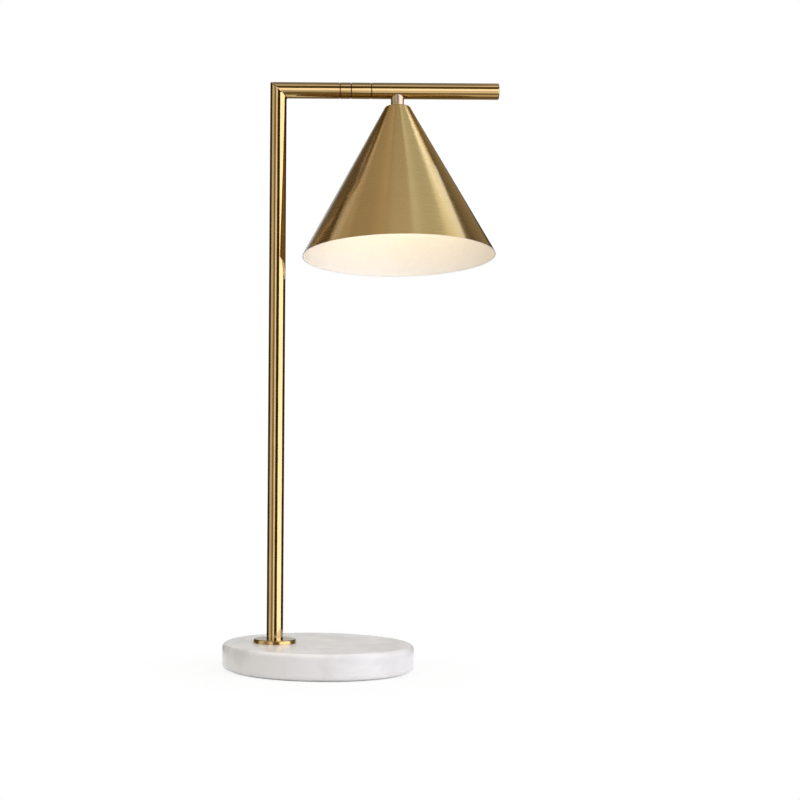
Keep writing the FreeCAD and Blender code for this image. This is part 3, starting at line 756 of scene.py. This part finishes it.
def solids_that_show():
    """Gives each solid that keeps showing the finish of its slot."""
    slots = {part["node"]: part["material_slot"] for part in frame["record"]["subparts"]}
    for name, node in frame["nodes"].items():
        for material_slot in node.material_slots:
            material_slot.material = FINISHES[slots[name]]
        if not node.material_slots:
            node.data.materials.append(FINISHES[slots[name]])


foot_pad()
stone_base()
cord_gland()
base_flange()
post_and_stub()
swivel()
arm()
neck()
shade()
stop_screw()
holder_skirt()
bulb_globe()
solids_that_show()

# Studio: places in metres, and azimuths in degrees from the front, positive to the right
FLOOR_RADIUS = 0.20
PANEL_DISTANCE = 2.2
PANEL_LOW = -0.5
PANEL_HIGH = 1.9
PANEL_STEP = 4
RIGHT_HIGH_DISTANCE = 1.4
LEFT_HIGH_DISTANCE = 1.0
ENAMEL_PANEL_DISTANCE = 2.1
ENAMEL_PANEL_AZIMUTHS = (-70, 70)
ENAMEL_PANEL_HEIGHTS = (0.25, 0.75)
LEFT_DIM_EDGE = -61.9
LEFT_FRONT_EDGE = -34
STUB_PANEL_EDGE = -14.2
ARM_PANEL_EDGE = 5
RIGHT_PANEL_EDGE = 23.9
BACK_OPENING = 165
BACK_PANEL_HEIGHTS = (1.0, 2.2)
OVERHEAD_HEIGHT = 2.0
OVERHEAD_ARM_HEIGHT = 1.99
OVERHEAD_NEAR = -0.8
OVERHEAD_FAR = 1.0
OVERHEAD_LEFT_EDGE = -0.25
OVERHEAD_RIGHT_EDGE = 0.35
OVERHEAD_RIGHT_END = 1.62
STONE_PANEL_HEIGHT = 1.9
TABLE_PANEL_HEIGHT = -0.78
WALL_DISTANCE = 2.6
WALL_LOW = -0.8
WALL_MIDDLE = 1.2
WALL_HIGH = 2.6

# Opposite corners of the level panels, as (x, y)
OVERHEAD_LEFT_CORNERS = (-1.5, OVERHEAD_NEAR), (OVERHEAD_LEFT_EDGE, 1.3)
OVERHEAD_CORNERS = (OVERHEAD_LEFT_EDGE, OVERHEAD_NEAR), (OVERHEAD_RIGHT_EDGE, OVERHEAD_FAR)
OVERHEAD_RIGHT_CORNERS = (OVERHEAD_RIGHT_EDGE, OVERHEAD_NEAR), (OVERHEAD_RIGHT_END, OVERHEAD_FAR)
OVERHEAD_ARM_CORNERS = (OVERHEAD_RIGHT_EDGE, OVERHEAD_NEAR), (0.6, OVERHEAD_FAR)
STONE_PANEL_CORNERS = (-1.8, -0.6), (1.1, 0.8)
TABLE_PANEL_CORNERS = (0.27, -1.0), (0.9, -0.2)
WALL_CORNERS = (-WALL_DISTANCE, -WALL_DISTANCE), (WALL_DISTANCE, WALL_DISTANCE)

# Levels of light, and those that change along a panel as (place, level)
FLOOR_EDGE_WHITENESS = 1.0
FLOOR_BASE_WHITENESS = 0.85
WORLD_LEVEL = 0.7
WHITE_LEVEL = 1.0
STONE_LEVEL = 2.1
ENAMEL_LEVEL = 1.25
TABLE_LEVEL = 0.6
BACK_LEVELS = ((WALL_LOW, 0.5), (0.6, 0.5), (0.9, 0.68), (1.6, 0.68), (1.8, 0.45), (WALL_HIGH, 0.45))
STUB_LEVELS = ((WALL_LOW, 0.4), (-0.33, 0.6), (0.4, 0.95), (0.5, 1.9), (1.55, 1.9), (1.68, 0.0))
ARM_LEVELS = ((WALL_LOW, 0.9), (-0.4, 1.4), (0.2, 0.8), (0.4, 0.9), (0.5, 2.0), (1.55, 2.0), (1.68, 0.0))
OVERHEAD_LEFT_LEVELS = ((-0.6, 0.53), (-0.28, 0.80))
OVERHEAD_LEVELS = ((-0.42, 1.04), (-0.16, 0.32))
OVERHEAD_RIGHT_LEVELS = (
    (OVERHEAD_RIGHT_EDGE, 1.36),
    (0.62, 0.82),
    (0.98, 0.72),
    (1.20, 0.84),
    (OVERHEAD_RIGHT_END, 0.76),
)

# Colours of light, floor and walls
NEUTRAL = (1.0, 1.0, 1.0)
COOL = (0.92, 0.92, 1.0)
COOLER = (0.78, 0.88, 1.0)
SKY = (0.69, 0.855, 1.0)
WARM = (1.0, 0.77, 0.44)
WARMER_WHITE = (1.0, 0.92, 0.82)
BROWN_WALL = (0.058, 0.038, 0.015)
BROWN_ROOF = (0.16, 0.10, 0.03)
BROWN_GROUND = (0.22, 0.17, 0.097)
GREY_WALL = (0.16, 0.16, 0.16)
FLOOR_COLOUR = (0.9, 0.9, 0.9)

# What some panels light alone or leave out
OUTER_ARM_PIECES = ("arm_pipe", "arm_tip")
SWIVEL_PIECES = ("swivel_ring_fixed", "swivel_ring_turning")
FRONT_LIT_PIECES = ("stub_pipe", *SWIVEL_PIECES, *OUTER_ARM_PIECES, "cone_shade")
STONE_LIT_PIECES = ("stone_disc", "floor")

# Camera at the photograph's viewing angle
CAMERA_POSITION = (-0.1103, -1.9868, 0.2616)
CAMERA_HEADING = math.radians(-0.1744)
CAMERA_ROLL = math.radians(0.4)
CAMERA_LENS = 91.87
CAMERA_SHIFT = 0.25
SENSOR_WIDTH = 36.0


# Studio helpers
def on_camera_or_gloss(tree):
    """1 for what the camera, a reflection or a refraction sees, else 0."""
    path = add(tree, "LightPath").outputs
    seen = math_node(tree, "MAXIMUM", path["Is Camera Ray"], path["Is Glossy Ray"])
    return math_node(tree, "MAXIMUM", seen, path["Is Transmission Ray"])


def staged(name, points, faces, material):
    """Mesh that belongs to the stage."""
    mesh = bpy.data.meshes.new(name)
    mesh.from_pydata(points, [], faces)
    mesh.materials.append(material)
    thing = bpy.data.objects.new(name, mesh)
    bpy.context.scene.collection.objects.link(thing)
    return thing


def shining(name, strength, colour=NEUTRAL, clear=False):
    """Panel material whose radiance is a number or a function of the tree, and which may be clear."""
    material, tree = empty_material(name)
    level = strength(tree) if callable(strength) else strength
    light = add(tree, "Emission", {"Color": (*colour, 1), "Strength": level}).outputs["Emission"]
    if clear:
        see_through = add(tree, "BsdfTransparent").outputs["BSDF"]
        light = add(tree, "AddShader", {0: light, 1: see_through}).outputs["Shader"]
    add(tree, "OutputMaterial", {"Surface": light})
    return material


def glowing(name, colour):
    """Dim wall of a radiance, which is seen in gloss and isn't worth sampling as a lamp."""
    material = shining(name, 1.0, colour)
    material.cycles.emission_sampling = "NONE"
    return material


def dull(name, colour):
    """Dull wall of a colour."""
    material, tree = empty_material(name)
    diffuse = add(tree, "BsdfDiffuse", {"Color": (*colour, 1)})
    add(tree, "OutputMaterial", {"Surface": diffuse.outputs["BSDF"]})
    return material


def layered(axis, layers):
    """Radiance that follows (place, level) layers along an axis."""
    first, last = layers[0][0], layers[-1][0]
    top = max(value for _, value in layers)
    stops = [((place - first) / (last - first), (value / top,) * 3) for place, value in layers]

    def level(tree):
        share = spread(tree, own_place(tree, axis), (first, last), (0.0, 1.0))
        return math_node(tree, "MULTIPLY", colours(tree, share, stops), top)

    return level


def upright_panel(name, azimuths, heights, material, distance=PANEL_DISTANCE):
    """Curved panel round the lamp, between two azimuths and two heights."""
    left, right = azimuths
    steps = max(2, int(abs(right - left) / PANEL_STEP))
    points = []
    for step in range(steps + 1):
        azimuth = math.radians(left + (right - left) * step / steps)
        for height in heights:
            points.append((distance * math.sin(azimuth), -distance * math.cos(azimuth), height))
    faces = [(2 * i, 2 * i + 2, 2 * i + 3, 2 * i + 1) for i in range(steps)]
    panel = staged(name, points, faces, material)
    panel.visible_camera = False
    return panel


def level_panel(name, corners, height, material):
    """Flat level panel between two (x, y) corners."""
    (left, near), (right, far) = corners
    points = [
        (left, near, height),
        (right, near, height),
        (right, far, height),
        (left, far, height),
    ]
    panel = staged(name, points, [(0, 1, 2, 3)], material)
    panel.visible_camera = False
    return panel


def light_only(panel, names):
    """Lets a clear panel light some pieces alone, while the others see what is behind it."""
    lit = bpy.data.collections.new(panel.name)
    for name in names:
        lit.objects.link(bpy.data.objects[name])
    panel.light_linking.receiver_collection = lit


def light_all_but(panel, names):
    """Lets a clear panel light everything but some pieces, which see what is behind it."""
    light_only(panel, names)
    for thing in panel.light_linking.receiver_collection.collection_objects:
        thing.light_linking.link_state = "EXCLUDE"


# Studio
def floor():
    """Round pale floor that is as white as the background at its edge and keeps the lamp's shadow."""
    material, tree = empty_material("floor")
    whitenesses = (FLOOR_BASE_WHITENESS, FLOOR_EDGE_WHITENESS)
    whiteness = spread(tree, own_reach(tree), (base_radius, FLOOR_RADIUS), whitenesses)
    seen = math_node(tree, "MULTIPLY", on_camera_or_gloss(tree), whiteness)
    diffuse = add(tree, "BsdfDiffuse", {"Color": (*FLOOR_COLOUR, 1)}).outputs["BSDF"]
    white = add(tree, "Emission", {"Color": (*NEUTRAL, 1), "Strength": WHITE_LEVEL}).outputs["Emission"]
    mix = add(tree, "MixShader", {"Fac": seen, 1: diffuse, 2: white})
    add(tree, "OutputMaterial", {"Surface": mix.outputs["Shader"]})
    staged("floor", circle(FLOOR_RADIUS, 0), [tuple(range(AROUND))], material)


def panels_around():
    """Panels at the sides and behind, which the post, the arm and the cone mirror as bands."""
    full = (PANEL_LOW, PANEL_HIGH)
    back = BACK_PANEL_HEIGHTS
    # Name, azimuths, heights, level, colour and, where it is nearer than the others, distance
    panels = (
        ("panel_right", (RIGHT_PANEL_EDGE, 88.6), full, 2.5, COOL),
        ("panel_left_front", (LEFT_FRONT_EDGE, STUB_PANEL_EDGE), full, 1.5, COOL),
        ("panel_left_dim", (LEFT_DIM_EDGE, LEFT_FRONT_EDGE), full, 0.36, WARM),
        ("panel_left_side", (-97.4, LEFT_DIM_EDGE), (PANEL_LOW, 1.5), 0.85, NEUTRAL),
        ("panel_right_high", (104, 124), (1.6, 2.5), 2.7, COOLER, RIGHT_HIGH_DISTANCE),
        ("panel_left_high", (-126, -118), (1.2, 1.9), 1.6, WARMER_WHITE, LEFT_HIGH_DISTANCE),
        ("panel_right_back", (126, BACK_OPENING), back, 0.32, WARM),
        ("panel_left_back", (-BACK_OPENING, -131), back, 0.14, WARM),
    )
    for name, azimuths, heights, strength, colour, *distance in panels:
        upright_panel(name, azimuths, heights, shining(name, strength, colour), *distance)
    behind = shining("panel_back", layered("Z", BACK_LEVELS))
    upright_panel("panel_back", (BACK_OPENING, 360 - BACK_OPENING), (WALL_LOW, WALL_HIGH), behind)


def panels_in_front():
    """Panels in front for the arm, the swivel and the cone alone, and a dimmer one for the cone."""
    panels = (
        ("panel_stub", (STUB_PANEL_EDGE, ARM_PANEL_EDGE), STUB_LEVELS),
        ("panel_arm", (ARM_PANEL_EDGE, RIGHT_PANEL_EDGE), ARM_LEVELS),
    )
    for name, azimuths, levels in panels:
        material = shining(name, layered("Z", levels), COOL, clear=True)
        panel = upright_panel(name, azimuths, (levels[0][0], levels[-1][0]), material)
        light_only(panel, FRONT_LIT_PIECES)
    material = shining("panel_enamel", ENAMEL_LEVEL, COOL, clear=True)
    edges = (ENAMEL_PANEL_AZIMUTHS, ENAMEL_PANEL_HEIGHTS)
    panel = upright_panel("panel_enamel", *edges, material, ENAMEL_PANEL_DISTANCE)
    light_only(panel, ("cone_shade",))


def panels_overhead():
    """Three panels side by side above the lamp, the right one with a stand-in for the outer arm."""
    left = shining("panel_overhead_left", layered("X", OVERHEAD_LEFT_LEVELS), WARMER_WHITE)
    level_panel("panel_overhead_left", OVERHEAD_LEFT_CORNERS, OVERHEAD_HEIGHT, left)
    centre = shining("panel_overhead", layered("Y", OVERHEAD_LEVELS))
    level_panel("panel_overhead", OVERHEAD_CORNERS, OVERHEAD_HEIGHT, centre)
    right = shining("panel_overhead_right", layered("X", OVERHEAD_RIGHT_LEVELS), SKY, clear=True)
    right_panel = level_panel("panel_overhead_right", OVERHEAD_RIGHT_CORNERS, OVERHEAD_HEIGHT, right)
    light_all_but(right_panel, OUTER_ARM_PIECES)
    above_arm = shining("panel_overhead_arm", layered("Y", OVERHEAD_LEVELS), clear=True)
    arm_panel = level_panel("panel_overhead_arm", OVERHEAD_ARM_CORNERS, OVERHEAD_ARM_HEIGHT, above_arm)
    light_only(arm_panel, OUTER_ARM_PIECES)


def panel_stone():
    """Panel above the lamp that lights the stone and the floor round it."""
    material = shining("panel_stone", STONE_LEVEL, clear=True)
    panel = level_panel("panel_stone", STONE_PANEL_CORNERS, STONE_PANEL_HEIGHT, material)
    light_only(panel, STONE_LIT_PIECES)


def panel_table():
    """Low panel that lights the underside of the outer arm."""
    material = shining("panel_table", TABLE_LEVEL, WARMER_WHITE, clear=True)
    panel = level_panel("panel_table", TABLE_PANEL_CORNERS, TABLE_PANEL_HEIGHT, material)
    light_only(panel, OUTER_ARM_PIECES)


def walls():
    """Dark walls, roof and ground behind the panels, open at the back."""
    azimuths = (-BACK_OPENING, BACK_OPENING)
    lower = glowing("brown_wall", BROWN_WALL)
    upright_panel("wall_low", azimuths, (WALL_LOW, WALL_MIDDLE), lower, WALL_DISTANCE)
    upper = dull("grey_wall", GREY_WALL)
    upright_panel("wall_high", azimuths, (WALL_MIDDLE, WALL_HIGH), upper, WALL_DISTANCE)
    level_panel("roof", WALL_CORNERS, WALL_HIGH, glowing("roof", BROWN_ROOF))
    level_panel("ground", WALL_CORNERS, WALL_LOW, glowing("ground", BROWN_GROUND))


def world():
    """White background, and a plain level of light from it."""
    scene_world = bpy.data.worlds.new("studio")
    bpy.context.scene.world = scene_world
    scene_world.use_nodes = True
    tree = scene_world.node_tree
    tree.nodes.clear()
    light, white = (
        add(tree, "Background", {"Color": (*NEUTRAL, 1), "Strength": level}).outputs["Background"]
        for level in (WORLD_LEVEL, WHITE_LEVEL)
    )
    mix = add(tree, "MixShader", {"Fac": on_camera_or_gloss(tree), 1: light, 2: white})
    add(tree, "OutputWorld", {"Surface": mix.outputs["Shader"]})


def camera():
    """Level camera in front, a little to the left."""
    data = bpy.data.cameras.new("camera")
    data.sensor_width = SENSOR_WIDTH
    data.lens = CAMERA_LENS
    data.shift_x = CAMERA_SHIFT
    thing = bpy.data.objects.new("camera", data)
    bpy.context.scene.collection.objects.link(thing)
    level = Matrix.Rotation(-CAMERA_HEADING, 4, "Z") @ Matrix.Rotation(math.pi / 2, 4, "X")
    rolled = level @ Matrix.Rotation(CAMERA_ROLL, 4, "Z")
    thing.matrix_world = Matrix.Translation(CAMERA_POSITION) @ rolled
    bpy.context.scene.camera = thing


floor()
panels_around()
panels_in_front()
panels_overhead()
panel_stone()
panel_table()
walls()
world()
camera()
bpy.context.scene.view_settings.view_transform = "Standard"
